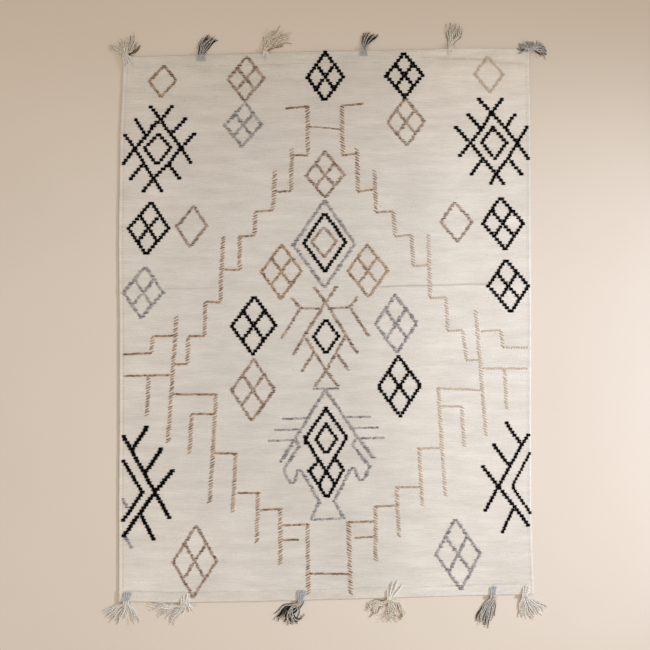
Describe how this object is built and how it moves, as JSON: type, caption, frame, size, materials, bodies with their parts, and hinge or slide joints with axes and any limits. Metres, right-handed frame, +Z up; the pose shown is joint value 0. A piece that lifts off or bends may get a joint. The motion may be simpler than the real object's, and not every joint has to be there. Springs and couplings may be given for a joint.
{
  "type": "flatwoven rug",
  "caption": "Flatwoven cream kilim rug lying flat, with turned hems and loose yarn tassels along both ends.",
  "frame": {"origin": "on the floor under the middle of the cloth, in its flat underside", "axes": "+Z up out of the floor, +Y along the warp to the rug's far end, +X along the weft to its right-hand side"},
  "size_m": [1.6267, 2.2098, 0.0085],
  "materials": {
    "cloth": "matt, ribbed flatweave in undyed wool",
    "yarn_cream": "matt undyed wool yarn",
    "yarn_grey": "matt grey wool yarn"
  },
  "bodies": {
    "root": {"rug": "cloth", "tassel_far_1": "yarn_cream", "tassel_far_2": "yarn_grey", "tassel_far_3": "yarn_cream", "tassel_far_4": "yarn_grey", "tassel_far_5": "yarn_cream", "tassel_far_6": "yarn_grey", "tassel_near_1": "yarn_cream", "tassel_near_2": "yarn_cream", "tassel_near_3": "yarn_grey", "tassel_near_4": "yarn_cream", "tassel_near_5": "yarn_grey", "tassel_near_6": "yarn_cream"}
  },
  "joints": []
}
